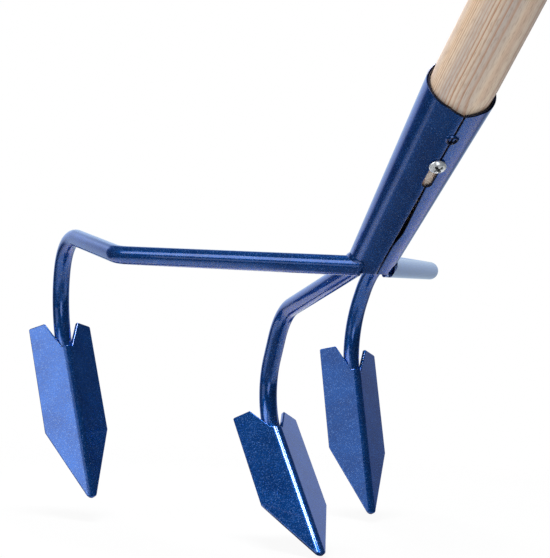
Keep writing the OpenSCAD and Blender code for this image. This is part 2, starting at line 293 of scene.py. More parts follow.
def makeWood(name, look):
    # plain-sawn softwood, turned and sanded: pale early wood with reddish late rings and darker fibres,
    # all drawn out along the grain, a grey streak of painted shade, and hardly any gloss
    material, tree, shader, place = newMaterial(name)
    turned = addNode(tree, "ShaderNodeMapping", {        # z along the handle
        "Vector": place, "Rotation": (rise - math.pi / 2, 0, 0)}).outputs["Vector"]
    drawnOut = addNode(tree, "ShaderNodeMapping", {
        "Vector": turned, "Scale": (1, 1, look["streakSquash"])}).outputs["Vector"]
    sway = addNode(tree, "ShaderNodeTexNoise", {
        "Vector": drawnOut, "Scale": perMetre(look["wanderSize"]), "Detail": look["detail"]})
    bothWays = addNode(tree, "ShaderNodeVectorMath", {
        0: sway.outputs["Color"], 1: noiseMean}, operation="SUBTRACT")
    wander = addNode(tree, "ShaderNodeVectorMath", {
        0: bothWays.outputs["Vector"], "Scale": 2 * look["wander"] * metres}, operation="SCALE")
    fromPith = addNode(tree, "ShaderNodeVectorMath", {
        0: turned, 1: (-look["pith"][0] * metres, -look["pith"][1] * metres, 0)}, operation="ADD")
    swayed = addNode(tree, "ShaderNodeVectorMath", {
        0: fromPith.outputs["Vector"], 1: wander.outputs["Vector"]}, operation="ADD")
    across = addNode(tree, "ShaderNodeVectorMath", {
        0: swayed.outputs["Vector"], 1: (1, 1, 0)}, operation="MULTIPLY")
    distance = addNode(tree, "ShaderNodeVectorMath", {0: across.outputs["Vector"]}, operation="LENGTH")
    rings = addNode(tree, "ShaderNodeMath", {
        0: distance.outputs["Value"], 1: perMetre(look["ringSpacing"])}, operation="MULTIPLY")
    season = addNode(tree, "ShaderNodeMath", {0: rings.outputs["Value"]}, operation="FRACT")
    year = addNode(tree, "ShaderNodeMath", {0: rings.outputs["Value"]}, operation="FLOOR")
    yearChance = addNode(tree, "ShaderNodeTexWhiteNoise", {
        "W": year.outputs["Value"]}, noise_dimensions="1D")
    strength = addNode(tree, "ShaderNodeMapRange", {
        "Value": yearChance.outputs["Value"],
        "To Min": look["ringStrength"][0], "To Max": look["ringStrength"][1]})
    begins, full, ends = look["ringStops"]
    lateShare = addNode(tree, "ShaderNodeValToRGB", {"Fac": season.outputs["Value"]}, stops=[
        (0.0, black), (begins, black), (full, white), (ends, black)])
    lateAmount = addNode(tree, "ShaderNodeMath", {
        0: lateShare.outputs["Color"], 1: strength.outputs["Result"]}, operation="MULTIPLY")
    streakPlace = addNode(tree, "ShaderNodeVectorMath", {
        0: drawnOut, 1: (look["streakShift"] * metres, 0, 0)}, operation="ADD")
    streak = addNode(tree, "ShaderNodeTexNoise", {
        "Vector": streakPlace.outputs["Vector"], "Scale": perMetre(look["streakSize"]),
        "Detail": look["detail"]})
    # the shadeGrey streak is painted shade; warm and pale are the wood's own tone
    streakTones = [linear(look[tone]) for tone in ("warm", "pale", "shadeGrey")]
    early = addNode(tree, "ShaderNodeValToRGB", {"Fac": streak.outputs["Fac"]},
                    stops=list(zip(look["streakStops"], streakTones)))
    ringColour = addNode(tree, "ShaderNodeMix", {
        "Factor": lateAmount.outputs["Value"], colourA: early.outputs["Color"],
        colourB: linear(look["late"])}, data_type="RGBA")
    alongFibre = addNode(tree, "ShaderNodeMapping", {
        "Vector": turned, "Scale": (1, 1, look["fibreSquash"])})
    fibre = addNode(tree, "ShaderNodeTexNoise", {
        "Vector": alongFibre.outputs["Vector"], "Scale": perMetre(look["fibreSize"]),
        "Detail": look["detail"]})
    fibreShare = addNode(tree, "ShaderNodeMapRange", {
        "Value": fibre.outputs["Fac"], "From Min": look["fibreRange"][0],
        "From Max": look["fibreRange"][1], "To Max": look["fibreMost"]})
    colour = addNode(tree, "ShaderNodeMix", {
        "Factor": fibreShare.outputs["Result"], colourA: ringColour.outputs[colourOut],
        colourB: linear(look["fibre"])}, data_type="RGBA")
    sanded = addNode(tree, "ShaderNodeBump", {
        "Height": fibre.outputs["Fac"], "Distance": look["fibreDepth"] * metres})
    dull = addNode(tree, "ShaderNodeMapRange", {
        "Value": season.outputs["Value"], "To Min": look["roughness"][0], "To Max": look["roughness"][1]})
    tree.links.new(colour.outputs[colourOut], shader.inputs["Base Color"])
    tree.links.new(dull.outputs["Result"], shader.inputs["Roughness"])
    tree.links.new(sanded.outputs["Normal"], shader.inputs["Normal"])
    return material


softwood = makeWood("softwood, turned and sanded", woodLook)

zincLook = {
    # recess is the colour of the painted shade in the cross recess
    "bright": "#f4f7f9", "dull": "#d3dbe1", "recess": "#1c1f22", "metallic": 0.5,
    "cloudSize": 1.6, "cloudStops": (0.35, 0.6), "cloudDetail": 3.0,
    "roughness": (0.32, 0.1),                # from the dull to the bright places
}


def makeZinc(name, look):
    # bright zinc plate on a pressed screw: pale sheen with a faint milky cloud, and painted shade, near
    # black, in the cross recess
    material, tree, shader, place = newMaterial(name)
    cloud = addNode(tree, "ShaderNodeTexNoise", {
        "Vector": place, "Scale": perMetre(look["cloudSize"]), "Detail": look["cloudDetail"]})
    plate = addNode(tree, "ShaderNodeValToRGB", {"Fac": cloud.outputs["Fac"]}, stops=[
        (look["cloudStops"][0], linear(look["dull"])), (look["cloudStops"][1], linear(look["bright"]))])
    gloss = addNode(tree, "ShaderNodeMapRange", {
        "Value": cloud.outputs["Fac"], "To Min": look["roughness"][0], "To Max": look["roughness"][1]})
    # painted shade in the cross recess
    inRecess = addNode(tree, "ShaderNodeAttribute", attribute_name="recess")
    colour = addNode(tree, "ShaderNodeMix", {
        "Factor": inRecess.outputs["Fac"], colourA: plate.outputs["Color"],
        colourB: linear(look["recess"])}, data_type="RGBA")
    tree.links.new(colour.outputs[colourOut], shader.inputs["Base Color"])
    tree.links.new(gloss.outputs["Result"], shader.inputs["Roughness"])
    shader.inputs["Metallic"].default_value = look["metallic"]
    return material


zincPlate = makeZinc("zinc plate, bright", zincLook)
print("materials made")

# Handle
handleSizes = {
    "noseEnd": 42.0, "length": 1200.0, "dome": 8.0, "noseBevel": 1.0,
    "noseThinner": 5.0, "noseStep": (70.0, 78.0),    # below the slot the nose stands back from the seam
    "unevenness": 0.05, "waveShort": 23.0, "waveLong": 61.0, "waveTwist": 140.0, "waveSwing": 2.2,
    "easeLow": 30.0, "easeHigh": (40.0, 15.0),       # the unevenness dies out at the mouth and at the butt
    "taperRows": 40, "gripRows": 220, "domeRows": 16, "columns": 96,
}


def makeHandle(sizes):
    # a profile turned about the axis: nose face, taper, long grip and a domed butt; sanding leaves the
    # grip uneven by the product of a short and a long wave, of which the short one swings round it
    end = sizes["noseEnd"] + sizes["length"]
    radius = tool["handleRadius"]
    domeRadius = (radius ** 2 + sizes["dome"] ** 2) / (2 * sizes["dome"])
    inside = tool["sheet"] + tool["woodGap"]
    taperRun = np.linspace(sizes["noseEnd"] + sizes["noseBevel"], tool["noseTop"], sizes["taperRows"])
    gripRun = np.linspace(tool["noseTop"], end - sizes["dome"], sizes["gripRows"])[1:]
    domeTurn = np.linspace(math.asin(radius / domeRadius), 0, sizes["domeRows"])[1:]
    domeRun = end - domeRadius + domeRadius * np.cos(domeTurn)
    thinner = sizes["noseThinner"] * (1 - smoothStep(*sizes["noseStep"], taperRun))
    taperRadius = socketRadius(taperRun) - inside - thinner
    noseRadius = socketRadius(sizes["noseEnd"]) - inside - sizes["noseThinner"] - sizes["noseBevel"]
    s = np.concatenate([[sizes["noseEnd"]] * 2, taperRun, gripRun, domeRun])[:, None]
    r = np.concatenate([[0.0, noseRadius], taperRadius, np.full(len(gripRun), radius),
                        domeRadius * np.sin(domeTurn)])[:, None]
    turn = evenTurns(sizes["columns"])
    nearButt = smoothStep(end - sizes["easeHigh"][0], end - sizes["easeHigh"][1], s)
    onGrip = smoothStep(tool["noseTop"], tool["noseTop"] + sizes["easeLow"], s) * (1 - nearButt)
    swing = sizes["waveSwing"] * np.sin(turn + s / sizes["waveTwist"])
    wave = np.sin(s / sizes["waveShort"] + swing) * np.sin(s / sizes["waveLong"] + turn)
    surface = gridSurface(aroundHandle(s, r - sizes["unevenness"] * onGrip * np.abs(wave), turn), True)
    return makePiece("wooden_handle", [surface], softwood, "handle", "handle")


makeHandle(handleSizes)
print("handle made")

# Socket
socketSizes = {
    "length": 131.0, "edge": 0.45,
    "trim": 1.2, "trimAt": 6.0, "trimReach": 30.0,   # the foot is cut level, over the arms' underside
    "seamHalf": 0.25, "spread": 2.0, "spreadLow": 31.0, "spreadHigh": 77.0, "spreadWidest": 42.5,
    "spreadDent": 0.5, "dentReach": 4.5,             # the bowed edge also lies a little lower
    "slotHalf": 2.25, "slotLow": 80.5, "slotHigh": 94.5, "slotSteps": 9,
    "dipDepth": 2.2, "dipHalf": 8.0, "dipReach": 25.0,
    "cutShade": (0.1, 0.4),                           # painted shade on the cut edges, by the way from a cut edge
    "insideShade": (0.6, 0.9),                        # and painted shade inside, by the share of the sheet's thickness
    "edgeSteps": (0, 0.06, 0.14, 0.24, 0.35, 0.47, 0.8, 1.6, 3.0), "rows": 80, "columns": 150,
}


def seamEdge(bow, sizes):
    # arc from the middle of the seam to its bowed edge: half the seam plus a share of the spread
    return sizes["seamHalf"] + sizes["spread"] * bow


def seamBow(s, sizes):
    # share by which one edge bows away: a hump that rises from the slot and falls faster towards the foot
    below = smoothStep(sizes["spreadLow"], sizes["spreadWidest"], s)
    above = np.clip((sizes["spreadHigh"] - s) / (sizes["spreadHigh"] - sizes["spreadWidest"]), 0, 1)
    return below * above


def slotHalf(s, sizes):
    # half width of the round-ended screw slot: straight, then two half circles
    beyond = np.maximum(np.maximum(sizes["slotLow"] - s, s - sizes["slotHigh"]), 0)
    return np.sqrt(np.maximum(sizes["slotHalf"] ** 2 - beyond ** 2, 0))


def mouthDip(fromSeam, sizes):
    # how far the mouth dips: deepest at the seam and straight up to both sides
    return sizes["dipDepth"] * np.maximum(1 - fromSeam / sizes["dipHalf"], 0)


def makeSocket(sizes):
    # sheet rolled to a cone: way up the handle by arc from one edge of the seam round to the other, with
    # half its thickness to both sides; the foot and the mouth are then drawn up and down to their cuts
    close = np.array(sizes["edgeSteps"])
    quarter = np.linspace(0, math.pi / 2, sizes["slotSteps"])
    base = np.concatenate([fineEnds(sizes["length"], close, sizes["rows"]),
                           sizes["slotLow"] - sizes["slotHalf"] * np.cos(quarter),
                           sizes["slotHigh"] + sizes["slotHalf"] * np.sin(quarter)])
    base = np.unique(base.round(placeDigits))[:, None]
    even = np.linspace(0, 1, sizes["columns"])[1:-1]
    fixed = np.concatenate([close, close[-1] * (1 - 2 * even), -close[::-1]])
    part = np.concatenate([np.zeros(len(close)), even, np.ones(len(close))])
    slot = slotHalf(base, sizes)
    bow = seamBow(base, sizes)
    rightEdge = np.maximum(seamEdge(bow, sizes), slot)
    leftEdge = np.maximum(sizes["seamHalf"], slot)
    radius = socketRadius(base)
    around = fullTurn * radius
    arc = rightEdge + fixed + part * (around - rightEdge - leftEdge)
    turn = seam + arc / radius
    level = tool["rodRadius"] - sizes["trim"]
    overLevel = socketRadius(sizes["trimAt"]) * np.cos(turn) * math.cos(rise) - level
    foot = np.maximum(overLevel / math.sin(rise), 0)
    dip = mouthDip(np.minimum(arc, around - arc), sizes)
    low = np.clip(1 - base / sizes["trimReach"], 0, 1)
    high = np.clip(1 - (sizes["length"] - base) / sizes["dipReach"], 0, 1)
    s = base + foot * low - dip * high
    toSeam = np.minimum(arc - rightEdge, around - leftEdge - arc)
    toEdge = np.minimum(np.minimum(toSeam, base), sizes["length"] - base)
    half = edgeRound(np.maximum(toEdge, 0), tool["sheet"], sizes["edge"])
    dent = sizes["spreadDent"] * bow * np.exp(-((arc - rightEdge) / sizes["dentReach"]) ** 2)
    middle = socketRadius(s) - tool["sheet"] / 2 - dent
    surfaces = sheetSurfaces(aroundHandle(s, middle + half, turn), aroundHandle(s, middle - half, turn))
    socket = makePiece("rolled_socket", surfaces, blueEnamel, "head", "socket")
    # painted shade, near black, on the socket's cut edges and inside it
    setShare(socket, "paintedShade", socketPaintedShade(socket, sizes))
    return socket


def socketPaintedShade(socket, sizes):
    # painted shade: 1 on the cut edges of mouth, slot and seam and inside the socket, easing to 0 outside
    up, out, arc = fromHandle(socket)
    edge = np.where(arc > 0, seamEdge(seamBow(up, sizes), sizes), sizes["seamHalf"])
    toMouth = sizes["length"] - mouthDip(np.abs(arc), sizes) - up
    toCut = np.minimum(toMouth, np.abs(arc) - np.maximum(edge, slotHalf(up, sizes)))
    onCut = 1 - smoothStep(*sizes["cutShade"], toCut)
    within = smoothStep(*sizes["insideShade"], (socketRadius(up) - out) / tool["sheet"])
    return np.maximum(onCut, within)


makeSocket(socketSizes)

tackSizes = {
    "place": 113.0, "radius": 3.1, "rim": 0.95, "rimPlace": 0.74, "rimWidth": 0.24,
    "crater": 1.2, "craterFloor": 0.1, "craterReach": 0.62,
    "wobbleThree": 0.05, "wobbleFive": 0.03, "wobbleLag": 0.6,       # out of round in three and five waves
    "skirtOut": (1.04, 1.02, 0.0), "skirtHeight": (-0.1, -0.6, -0.6),    # into the sheet, closed below
    "shadeEdge": (0.72, 1.0),                                         # painted shade over the crater, easing off across the rim to its edge
    "rows": 26, "columns": 64,
}


def makeTackWeld(sizes):
    # a puddle on the cone: height over it by distance from the middle, a rim like a bell curve round a
    # deep crater where the arc broke off
    puddle = np.linspace(0, 1, sizes["rows"])
    rim = sizes["rim"] * np.exp(-((puddle - sizes["rimPlace"]) / sizes["rimWidth"]) ** 2)
    crater = sizes["crater"] * (1 - smoothStep(sizes["craterFloor"], sizes["craterReach"], puddle))
    share = np.append(puddle, sizes["skirtOut"])[:, None]
    height = np.append(rim - crater, sizes["skirtHeight"])[:, None]
    angle = evenTurns(sizes["columns"])
    wobble = (1 + sizes["wobbleThree"] * np.sin(3 * angle + sizes["wobbleLag"])
              + sizes["wobbleFive"] * np.sin(5 * angle))
    out = sizes["radius"] * share * wobble
    s = sizes["place"] + out * np.sin(angle)
    turn = seam + out * np.cos(angle) / socketRadius(s)
    surface = gridSurface(aroundHandle(s, socketRadius(s) + height, turn), True)
    tack = makePiece("seam_tack", [surface], weldEnamel, "head", "seam_tack_weld")
    up, out, arc = fromHandle(tack)
    fromMiddle = np.hypot(up - sizes["place"], arc) / sizes["radius"]
    # painted shade, near black, in the crater
    setShare(tack, "paintedShade", 1 - smoothStep(*sizes["shadeEdge"], fromMiddle))
    return tack


makeTackWeld(tackSizes)
print("socket made")

# Screw
screwSizes = {
    "place": 94.5, "seat": 15.64, "headRadius": 4.0, "headHeight": 2.6, "rim": 0.8,
    "rimIn": (0.0, 0.0, 0.07, 0.2), "rimHeights": (0.72, 0.22, 0.06, 0.0),    # the rim, from above
    "recessHalf": 0.7, "recessReach": 2.4, "recessDepth": 2.0, "recessSlope": 0.22, "recessTurn": 45.0,
    "shankRadius": 1.95, "shankStart": -0.05, "length": 19.0, "point": 5.0,
    "pitch": 1.4, "threadDepth": 0.4, "threadShape": 0.7, "threadStart": (0.4, 1.2), "threadLimit": 0.6,
    "recessRun": 3.0, "domeEnd": 0.12,               # rows are close together out to recessRun
    "recessRows": 44, "domeRows": 8, "shankRows": 100, "pointRows": 30, "columns": 96, "sharpAngle": 40,
}


def recessShare(sideways, upwards, sizes):
    # 1 on the floor of the cross recess, 0 outside it and a short ease on its walls
    turn = math.radians(sizes["recessTurn"])
    x = sideways * math.cos(turn) + upwards * math.sin(turn)
    y = upwards * math.cos(turn) - sideways * math.sin(turn)
    armA = np.maximum(np.abs(x) - sizes["recessHalf"], np.abs(y) - sizes["recessReach"])
    armB = np.maximum(np.abs(y) - sizes["recessHalf"], np.abs(x) - sizes["recessReach"])
    return smoothStep(0, sizes["recessSlope"], -np.minimum(armA, armB))


def makeScrew(sizes):
    # a turned profile from the middle of the head to the point; the cross recess lowers the head, and the
    # thread is a helix, a groove by the way along plus the share of a turn
    out = math.cos(seam) * underAxis + math.sin(seam) * rightAxis
    side = np.cross(upAxis, out)
    centre = footCentre + sizes["place"] * upAxis + sizes["seat"] * out
    dome = sizes["headHeight"] - sizes["rim"]
    domeRadius = (sizes["headRadius"] ** 2 + dome ** 2) / (2 * dome)
    domeEnd = sizes["headRadius"] - sizes["domeEnd"]
    domeRun = np.linspace(sizes["recessRun"], domeEnd, sizes["domeRows"])[1:]
    headRun = np.append(np.linspace(0, sizes["recessRun"], sizes["recessRows"]), domeRun)
    headTop = sizes["headHeight"] - domeRadius + np.sqrt(domeRadius ** 2 - headRun ** 2)
    rimRun = np.append(sizes["headRadius"] - np.array(sizes["rimIn"]), sizes["shankRadius"])
    rimTop = np.append(sizes["rimHeights"], 0.0)
    pointStart = sizes["point"] - sizes["length"]
    shankTop = np.linspace(sizes["shankStart"], pointStart, sizes["shankRows"])
    shankRun = np.full(len(shankTop), sizes["shankRadius"])
    pointTop = np.linspace(pointStart, -sizes["length"], sizes["pointRows"])[1:]
    pointRun = sizes["shankRadius"] * (pointTop + sizes["length"]) / sizes["point"]
    run = np.concatenate([headRun, rimRun, shankRun, pointRun])[:, None]
    top = np.concatenate([headTop, rimTop, shankTop, pointTop])[:, None]
    angle = evenTurns(sizes["columns"])
    onHead = np.arange(len(run))[:, None] < len(headRun)
    sink = sizes["recessDepth"] * recessShare(run * np.cos(angle), run * np.sin(angle), sizes)
    top = top - np.where(onHead, sink, 0)
    turnShare = np.mod(top / sizes["pitch"] - angle / fullTurn, 1)
    groove = sizes["threadDepth"] * np.abs(2 * turnShare - 1) ** sizes["threadShape"]
    groove = np.minimum(groove * smoothStep(*sizes["threadStart"], -top), sizes["threadLimit"] * run)
    run = run - np.where(onHead, 0, groove)
    points = (centre + top[..., None] * out + (run * np.cos(angle))[..., None] * side
              + (run * np.sin(angle))[..., None] * upAxis)
    screw = makePiece("cross_recess_screw", [gridSurface(points, True)], zincPlate,
                      "screw", "retaining_screw", sizes["sharpAngle"])
    # painted shade on the floor of the cross recess, over the seat only
    places = vertexPlaces(screw) + footCentre - centre
    overSeat = places @ out > 0
    setShare(screw, "recess", overSeat * recessShare(places @ side, places @ upAxis, sizes))
    return screw


makeScrew(screwSizes)
print("screw made")

# Tines
armSizes = {
    "rootBack": 9.0, "cornerX": 92.5, "cornerY": 136.5, "cornerBend": 30.0,
    "leftBend": (-99.0, 238.5, 11.5), "rightBend": (99.0, 243.0, 5.0), "bend": 37.0,
    "legRake": 28.5, "leftLeg": 26.0, "rightLeg": 28.5,      # the legs rake forwards
    "sweep": 47.0, "lean": 32.5, "tail": 46.0,               # and the blades lean back
    "copeGap": 0.03, "brokenEdge": 0.8,
    "arcStep": 1.2, "fewestSteps": 8, "runRows": 24, "tipRows": 5, "columns": 56,
}
middleSizes = {
    "lift": 4.255, "inset": 9.0, "fall": 14.0, "reach": 126.5, "leg": 30.5, "sweep": 33.0, "lean": 53.5,
}
ringTurn = evenTurns(armSizes["columns"])


def downwards(side, lean):
    # direction of a leg or blade that leans back, on a tine tucked inwards
    lean, tuck = math.radians(lean), math.radians(tool["tuck"])
    drop = math.cos(lean)
    return np.array([-side * math.sin(tuck) * drop, -math.sin(lean), -math.cos(tuck) * drop])


def sweepReach(radius, lean):
    # from the knee's corner to where its arc ends: the radius times the tangent of half the turn
    return radius * math.tan(math.radians(armSizes["legRake"] + lean) / 2)


def outerCorners(side, upperBend, leg, sizes):
    # corners of an outer tine, out from the socket's flank, forwards, down the leg and on behind the
    # blade, and the place on it where the blade's notch sits
    root = np.array([side * tool["footRadius"], 0, 0])
    corner = np.array([side * sizes["cornerX"], sizes["cornerY"], 0])
    bend = np.array(upperBend)
    reach = sweepReach(sizes["sweep"], sizes["lean"])
    knee = bend + (leg + reach) * downwards(side, -sizes["legRake"])
    seat = knee + reach * downwards(side, sizes["lean"])
    end = seat + sizes["tail"] * downwards(side, sizes["lean"])
    return [root - sizes["rootBack"] * unit(corner - root), corner, bend, knee, end], seat


def middleCorners(sizes):
    # the same for the middle tine, which falls forwards from inside the socket's foot
    fall, rake = math.radians(sizes["fall"]), math.radians(armSizes["legRake"])
    run = np.array([0, math.cos(fall), -math.sin(fall)])
    root = -sizes["lift"] * underAxis
    bend = root + sizes["reach"] * run
    reach = sweepReach(sizes["sweep"], sizes["lean"])
    knee = bend + (sizes["leg"] + reach) * np.array([0, math.sin(rake), -math.cos(rake)])
    seat = knee + reach * downwards(0, sizes["lean"])
    end = seat + armSizes["tail"] * downwards(0, sizes["lean"])
    return [root - sizes["inset"] * run, bend, knee, end], seat


def bentPath(corners, bends):
    # straight runs with a circular arc tangent to both at every corner; gives points and directions
    corners = np.array(corners)
    headings = unit(np.diff(corners, axis=0))
    points, directions = [corners[:1]], [headings[:1]]
    for i, bend in enumerate(bends, start=1):
        before, after = headings[i - 1], headings[i]
        angle = math.acos(float(before @ after))
        start = corners[i] - bend * math.tan(angle / 2) * before
        inward = unit(after - (after @ before) * before)
        count = max(armSizes["fewestSteps"], int(bend * angle / armSizes["arcStep"]))
        step = np.linspace(0, angle, count)[:, None]
        points.append(start + bend * (np.sin(step) * before + (1 - np.cos(step)) * inward))
        directions.append(np.cos(step) * before + np.sin(step) * inward)
    points.append(corners[-1:])
    directions.append(headings[-1:])
    return np.concatenate(points), np.concatenate(directions)


def ringAround(directions):
    # unit circle square to each direction, starting from what is square to the sideways axis too
    first = unit(np.cross(directions, rightAxis))
    second = np.cross(directions, first)
    return (np.cos(ringTurn)[:, None] * first[..., None, :]
            + np.sin(ringTurn)[:, None] * second[..., None, :])


def leavesCone(start, heading):
    # how far along its heading each line leaves the socket's cone: the larger root of a quadratic
    startUp, headingUp, steep = start @ upAxis, heading @ upAxis, 1 + wallTaper ** 2
    foot = tool["footRadius"]
    a = 1 - headingUp ** 2 * steep
    b = 2 * (start @ heading - startUp * headingUp * steep - foot * wallTaper * headingUp)
    c = (start * start).sum(-1) - startUp ** 2 * steep - 2 * foot * wallTaper * startUp - foot ** 2
    return (-b + np.sqrt(np.maximum(b * b - 4 * a * c, 0))) / (2 * a)


def makeTine(name, corners, bends, node, coped):
    # round bar, a circle carried along a bent path; an arm's end is coped to the socket, and the far end
    # has a broken edge, a quarter circle
    path, directions = bentPath(corners, bends)
    rings = ringAround(directions)
    tube = path[:, None] + tool["rodRadius"] * rings
    first = tube[0]
    if coped:
        first = first + (armSizes["copeGap"] + leavesCone(first, directions[0]))[:, None] * directions[0]
    broken = armSizes["brokenEdge"]
    share = np.linspace(0, 1, armSizes["runRows"])[:, None, None]
    firstRun = first * (1 - share) + tube[1] * share
    lastRun = tube[-2] * (1 - share) + (tube[-1] - broken * directions[-1]) * share
    quarter = np.linspace(0, math.pi / 2, armSizes["tipRows"])[1:, None, None]
    tipRadius = tool["rodRadius"] - broken + broken * np.cos(quarter)
    tip = path[-1] - broken * (1 - np.sin(quarter)) * directions[-1] + tipRadius * rings[-1]
    nearEnd = np.broadcast_to(first.mean(0), (1, *first.shape))
    farEnd = np.broadcast_to(path[-1], (1, *first.shape))
    points = np.concatenate([nearEnd, firstRun, tube[2:-2], lastRun, tip, farEnd])
    surface = gridSurface(points + footCentre, True)
    return makePiece(name, [surface], blueEnamel, "head", node)


outerBends = [armSizes["cornerBend"], armSizes["bend"], armSizes["sweep"]]
middleBends = [armSizes["bend"], middleSizes["sweep"]]
leftRun, leftSeat = outerCorners(-1, armSizes["leftBend"], armSizes["leftLeg"], armSizes)
rightRun, rightSeat = outerCorners(1, armSizes["rightBend"], armSizes["rightLeg"], armSizes)
middleRun, middleSeat = middleCorners(middleSizes)
makeTine("left_rod", leftRun, outerBends, "left_tine", True)
makeTine("right_rod", rightRun, outerBends, "right_tine", True)
makeTine("middle_rod", middleRun, middleBends, "middle_tine", False)
print("tines made")

# Root welds
rootWeldSizes = {
    "leg": 1.7, "bulge": 0.12, "ripples": 17, "ripple": 0.07, "swells": 3, "swell": 0.08, "swellLag": 1.0,
    "depth": 0.35, "ground": 0.02,           # how deep it reaches, and its end over the arms' underside
    "over": (-0.5, 0.5), "leastLeg": 0.15,   # the middle bead thins out under its rod
    "columns": 9, "sharpAngle": 60,
}


def rodRoot(corners, bends):
    # where the rod's skin begins, the way it heads, and the unit circle square to that
    path, directions = bentPath(corners, bends)
    ring = ringAround(directions)[0]
    return path[0] + tool["rodRadius"] * ring, directions[0], ring


def makeBead(name, joint, outward, onward, leg, node, sizes):
    # a bead round a joint line: from a leg's length along the rod, over a bulge, to a leg's length along
    # the other piece, ground level with the arms' underside
    closed = np.append(np.arange(len(ringTurn)), 0)
    joint, onward, leg = joint[closed], onward[closed], leg[closed][None, :, None]
    share = np.linspace(0, 1, sizes["columns"])[:, None, None]
    bulge = sizes["bulge"] * np.sin(math.pi * share)
    skin = joint + leg * ((1 - share + bulge) * outward + (share + bulge) * onward)
    inner = joint - sizes["depth"] * leg * (outward + onward) / 2
    section = np.concatenate([skin, inner, skin[:1]])
    section[..., 2] = np.maximum(section[..., 2], sizes["ground"] - tool["rodRadius"])
    surface = gridSurface(section.swapaxes(0, 1) + footCentre)
    return makePiece(name, [surface], weldEnamel, "head", node, sizes["sharpAngle"])


def makeRootWeld(name, corners, node, sizes):
    # the bead where an arm's skin leaves the socket's cone, on along the cone's own slope
    start, heading, ring = rodRoot(corners, outerBends)
    joint = start + leavesCone(start, heading)[:, None] * heading
    radial = unit(joint - (joint @ upAxis)[:, None] * upAxis)
    normal = unit(radial - wallTaper * upAxis)
    onward = unit(ring - (ring * normal).sum(-1, keepdims=True) * normal)
    ripple = sizes["ripple"] * np.sin(sizes["ripples"] * ringTurn)
    swell = sizes["swell"] * np.sin(sizes["swells"] * ringTurn + sizes["swellLag"])
    return makeBead(name, joint, heading, onward, sizes["leg"] * (1 + ripple + swell), node, sizes)


def makeMiddleWeld(name, corners, node, sizes):
    # the bead where the middle rod leaves the foot's end, full over the rod and running out under it
    start, heading, ring = rodRoot(corners, middleBends)
    joint = start - ((start @ upAxis) / (heading @ upAxis))[:, None] * heading
    onward = unit(ring - (ring @ upAxis)[:, None] * upAxis)
    over = smoothStep(*sizes["over"], -(ring @ underAxis))
    ripple = sizes["ripple"] * np.sin(sizes["ripples"] * ringTurn)
    leg = sizes["leg"] * (sizes["leastLeg"] + (1 - sizes["leastLeg"]) * over) * (1 + ripple)
    return makeBead(name, joint, heading, onward, leg, node, sizes)


makeRootWeld("left_root_bead", leftRun, "left_root_weld", rootWeldSizes)
makeRootWeld("right_root_bead", rightRun, "right_root_weld", rootWeldSizes)
makeMiddleWeld("middle_root_bead", middleRun, "middle_root_weld", rootWeldSizes)
print("root welds made")

# Blades
bladeSizes = {
    "half": 21.75, "thickness": 2.5, "fold": 34.0, "foldRadius": 5.0, "seatGap": 0.05,
    "notchHalf": 2.8, "notchTopHalf": 11.25, "notchDepth": 18.5, "shoulder": 51.5, "point": 104.5,
    "pointRadius": 3.0, "cornerRadius": 1.2, "edge": 0.6,
    "edgeSteps": (0, 0.05, 0.12, 0.22, 0.34, 0.47, 0.62, 0.8, 1.2), "columns": 60,
    "endSteps": (0, 0.15, 0.35, 0.6, 0.9, 1.3, 1.8, 2.5, 4.0), "rows": 40,
    "ridgeMarks": (0.7, 1.4, 2.225), "notchMark": 0.25,      # more columns at the fold and the notch
}
foldTurn = math.radians(bladeSizes["fold"])
foldInside = bladeSizes["foldRadius"] - bladeSizes["thickness"]
rodExcess = tool["rodRadius"] + bladeSizes["seatGap"] - foldInside
rodBed = bladeSizes["foldRadius"] + rodExcess / math.cos(foldTurn)    # from the ridge to the rod's axis


def onBlade(points, seat, side, lean):
    # blade's own frame, z up the ridge from the notch and y away from the user, to the head's: leant
    # back, then tucked in
    a, b = math.radians(-lean), side * math.radians(tool["tuck"])
    leanBack = np.array([[1, 0, 0], [0, math.cos(a), -math.sin(a)], [0, math.sin(a), math.cos(a)]])
    tuckIn = np.array([[math.cos(b), 0, math.sin(b)], [0, 1, 0], [-math.sin(b), 0, math.cos(b)]])
    return (points - [0, rodBed, 0]) @ (tuckIn @ leanBack).T + seat + footCentre


def foldedSheet(x, z, offset, sizes):
    # distance x from the ridge, measured on the flat strip, goes round the fold's arc and then straight
    # out along a wing; offset stands off the strip's middle
    midRadius = sizes["foldRadius"] - sizes["thickness"] / 2
    away = np.abs(x)
    turn = np.minimum(away / midRadius, foldTurn)
    straight = np.maximum(away - midRadius * foldTurn, 0)
    out = (midRadius + offset) * np.sin(turn) + straight * np.cos(turn)
    back = sizes["foldRadius"] - (midRadius + offset) * np.cos(turn) + straight * np.sin(turn)
    return np.stack(np.broadcast_arrays(np.sign(x) * out, back, z), axis=-1)


